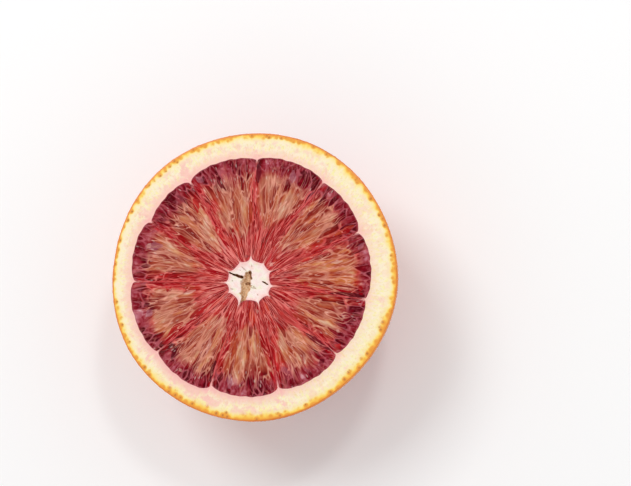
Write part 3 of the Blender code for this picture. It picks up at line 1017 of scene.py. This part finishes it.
def domePoints(angle, turn):
    # points of the dome and their depth below the face, both in mm; turn is 0 at the rim
    power = 2 / rind["domeFullness"]
    swell = waves(angle, rind["domeWaves"]) * np.sin(2 * turn) ** 2
    radius = rimRadius(angle) * np.cos(turn) ** power + swell
    return polar(radius, angle), rind["domeDepth"] * np.sin(turn) ** power


def porePlaces():
    # evenly spread over the dome by the golden angle, then jittered
    rng = np.random.default_rng(rind["seed"])
    area = 2 * np.pi * face["rimRadius"] * rind["domeDepth"]
    count = int(area / rind["poreSpacing"] ** 2 * 1.1)
    height = (np.arange(count) + 0.5) / count
    angle = np.arange(count) * math.pi * (3 - math.sqrt(5))
    flat, drop = domePoints(angle, np.arcsin(np.clip(height, 0, 0.999)))
    places = np.concatenate((flat, drop[:, None]), axis=1)
    return places + rng.uniform(-rind["poreStray"], rind["poreStray"], places.shape) * rind["poreSpacing"]


def poreMask(points):
    places = porePlaces()
    tree = kdtree.KDTree(len(places))
    for number, place in enumerate(places):
        tree.insert(place, number)
    tree.balance()
    gap = np.array([tree.find(p)[2] for p in points])
    return 1 - smooth(0.1, 1.0, gap / rind["poreRadius"])


def makeRind():
    faceRows, rimRows = rind["faceRows"], rind["rimRows"]
    domeRows, endRows = rind["domeRows"], rind["endRows"]
    rows = 1 + faceRows + rimRows + domeRows + endRows
    bm = spunSheet(rows, rind["columns"])
    for radius in (1, rows):
        bmesh.ops.contextual_create(bm, geom=rimOf(bm, radius))
    mesh = meshFrom("rind", bm)
    row, angle = rowsAndTurns(coordinates(mesh))
    first = math.asin((rind["rimRounding"] / rind["domeDepth"]) ** (rind["domeFullness"] / 2))
    last = math.acos((rind["flatRadius"] / face["rimRadius"]) ** (rind["domeFullness"] / 2))
    rounding = rind["rimRounding"]
    rim = rimRadius(angle)
    flat = polar(rim - face["splitInset"], angle)
    drop = np.full(len(row), face["slabDepth"] + 0.05)
    own = (row >= 1) & (row <= faceRows)  # the cut face
    share = (row[own] - 1) / (faceRows - 1)
    flat[own] = polar(rim[own] - mixed(face["splitInset"], rounding, share), angle[own])
    drop[own] = 0
    own = (row > faceRows) & (row <= faceRows + rimRows)  # the rim
    bend = (row[own] - faceRows) / (rimRows + 1) * math.pi / 2
    flat[own] = polar(rim[own] - rounding * (1 - np.sin(bend)), angle[own])
    drop[own] = rounding * (1 - np.cos(bend))
    dome = row > faceRows + rimRows
    share = np.clip((row[dome] - faceRows - rimRows - 1) / (domeRows - 1), 0, 1)
    flat[dome], drop[dome] = domePoints(angle[dome], mixed(first, last, share))
    end = row >= faceRows + rimRows + domeRows  # the flat spot
    share = (row[end] - faceRows - rimRows - domeRows) / endRows
    flat[end] = flat[end] * (1 - rind["flatShrink"] * share)[:, None]
    drop[end] = faceHeight / mm
    setCoordinates(mesh, placed(flat, drop))
    # pores and slow swells sink into the skin, so the piece stays inside the solid
    skin = (row > faceRows) & ~end
    solid = np.concatenate((flat, drop[:, None]), axis=1)
    pores = np.zeros(len(row))
    pores[skin] = poreMask(solid[skin])
    swell = 0.5 + 0.5 * latticeNoise(solid * rind["undulationScale"], 11)
    fade = smooth(faceRows, faceRows + rimRows, row) * smooth(faceHeight / mm, faceHeight / mm - 1.5, drop)
    sink = (rind["poreDepth"] * pores + rind["undulation"] * swell) * fade
    normals = np.empty(len(row) * 3)
    mesh.vertex_normals.foreach_get("vector", normals)
    points = coordinates(mesh) - normals.reshape(-1, 3) * (sink * mm)[:, None]
    points[skin, 2] = np.maximum(points[skin, 2], 0)
    setCoordinates(mesh, points)
    setMask(mesh, "pore", pores)
    setMask(mesh, "skin", smooth(faceRows - 1, faceRows + 2, row))
    faceMasks(mesh, flat, np.full(len(row), 9.0), np.zeros(len(row)))
    return finished("rind", mesh, cutPeel)


makeRind()
print("rind made")

# Core: a pale fibrous star with hollows in it

core = {
    "perSegment": 26,
    "rows": 60,
    "dip": 0.18,
    "rough": ((1.6, 21, 0.30), (4, 22, 0.22)),  # noise: scale, seed and strength
    # the dark brown in the hollows is partly their own colour and partly painted shade
    # depth, darkness, then points along each hollow from the middle of the core, with its half width there
    "hollows": (
        (1.4, 0.15, ((-0.35, 1.5, 0.95), (-0.75, 0.2, 1.2), (-0.95, -1.2, 1.2), (-1.25, -2.9, 1.05),
                     (-1.45, -4.2, 0.65), (-2.0, -5.1, 0.25))),
        (1.5, 0.65, ((0.0, 2.2, 0.45), (0.15, 1.5, 0.4), (0.3, 0.6, 0.35))),
        (1.6, 0.75, ((-0.9, -0.55, 0.45), (-0.2, -0.6, 0.5))),
        (1.6, 1.00, ((-5.1, 2.1, 0.12), (-3.6, 1.5, 0.27), (-2.0, 0.95, 0.40))),
        (1.0, 1.00, ((3.3, -0.2, 0.14), (3.9, -0.5, 0.24), (4.5, -0.85, 0.2))),
    ),
    "nickWidth": 0.14,
    "nickDepth": 0.15,
    "nicks": (
        (-1.95, 3.5, -0.95, 2.6), (0.3, -1.65, 1.55, -1.9), (1.0, -1.4, 1.2, -1.6), (2.0, -3.4, 2.1, -3.6),
        (0.55, 3.9, 0.55, 3.5), (-2.45, 2.8, -2.35, 2.6), (-4.4, 0.2, -4.3, 0.0), (-4.7, -1.9, -4.3, -2.1),
    ),
}


def makeCore(material):
    rows = core["rows"] + 2
    bm = spunSheet(rows, core["perSegment"] * len(face["segments"]))
    for radius in (1, rows):
        bmesh.ops.contextual_create(bm, geom=rimOf(bm, radius))
    mesh = meshFrom("core", bm)
    row, turn = rowsAndTurns(coordinates(mesh))
    edge = edgePlaces(coreEdge, *segmentShares(turn, core["perSegment"]))
    middle = np.array(face["coreCentre"])
    along = np.clip((row + 0.2) / (rows - 1.8), 0, 1)
    local = (edge - middle) * along[:, None]
    where = lifted(local)
    rough = layered(where, core["rough"])
    hollow = np.zeros(len(row))
    dark = np.zeros(len(row))
    drop = core["dip"] * (1 - along ** 4) + 0.04 * latticeNoise(where * 1.6, 23)
    for depth, darkness, points in core["hollows"]:
        near = np.full(len(row), 9.0)
        for (ax, ay, aw), (bx, by, bw) in zip(points, points[1:]):
            gap, share = fromStroke(local, (ax, ay), (bx, by))
            near = np.minimum(near, gap / mixed(aw, bw, share))
        inside = 1 - smooth(0.45, 1.25, near + rough)
        drop = np.maximum(drop, depth * inside * (1 + 0.3 * rough))
        hollow = np.maximum(hollow, 1 - smooth(0.75, 1.25, near + rough))
        dark = np.maximum(dark, darkness * (1 - smooth(0.5, 1.3, near + rough)))
    nick = np.zeros(len(row))
    for ax, ay, bx, by in core["nicks"]:
        gap = fromStroke(local, (ax, ay), (bx, by))[0] / core["nickWidth"]
        nick = np.maximum(nick, 1 - smooth(0.4, 1.4, gap + rough))
    drop = np.clip(drop + core["nickDepth"] * nick, 0.02, None)
    drop[row == rows - 1] = face["slabDepth"]
    setCoordinates(mesh, placed(local + middle, drop))
    setVector(mesh, "hollows", np.stack((hollow, dark, nick), axis=1))
    setMask(mesh, "fromEdge", np.linalg.norm(edge - middle, axis=1) * (1 - along))
    return finished("core", mesh, material)


def coreMaterial():
    material, shader = newMaterial("core")
    n = Nodes(material.node_tree)
    where = n.millimetres()
    hollow, dark, nick = n.parts(n.attribute("hollows", "Vector"))
    soft = n.noise(where, 0.55, 3.0)
    colour = n.ramp(soft, (
        (0.34, 252, 218, 210), (0.50, 253, 234, 228), (0.66, 244, 240, 208),
    ))
    colour = n.mix(n.remap(n.attribute("fromEdge"), 1.1, 0.0, 0, 0.65), colour, srgb(250, 186, 180))
    colour, grain = n.mottle(where, 2.2, 4.0, 0.65, 0.52, 0.75, 0.3, colour, srgb(226, 196, 176))
    fibrous = n.ramp(grain, (
        (0.32, 206, 158, 110), (0.50, 228, 186, 144), (0.68, 244, 210, 172),
    ))
    darkBrown = n.ramp(grain, (
        (0.30, 112, 48, 22), (0.50, 150, 88, 38), (0.70, 184, 124, 66),
    ))
    # tan and dark brown in the nicks and hollows: partly the dried pith's own colour, partly painted shade
    # in the openings
    colour = n.mix(n.times(nick, 0.6), colour, srgb(176, 142, 118))
    colour = n.mix(hollow, colour, fibrous)
    colour = n.mix(n.remap(dark, 0.2, 0.9), colour, darkBrown)
    n.join(colour, shader.inputs["Base Color"])
    shader.inputs["Roughness"].default_value = 0.6
    n.join(n.bump(grain, 0.5, 0.12 * mm), shader.inputs["Normal"])
    return material


makeCore(coreMaterial())
print("core made")
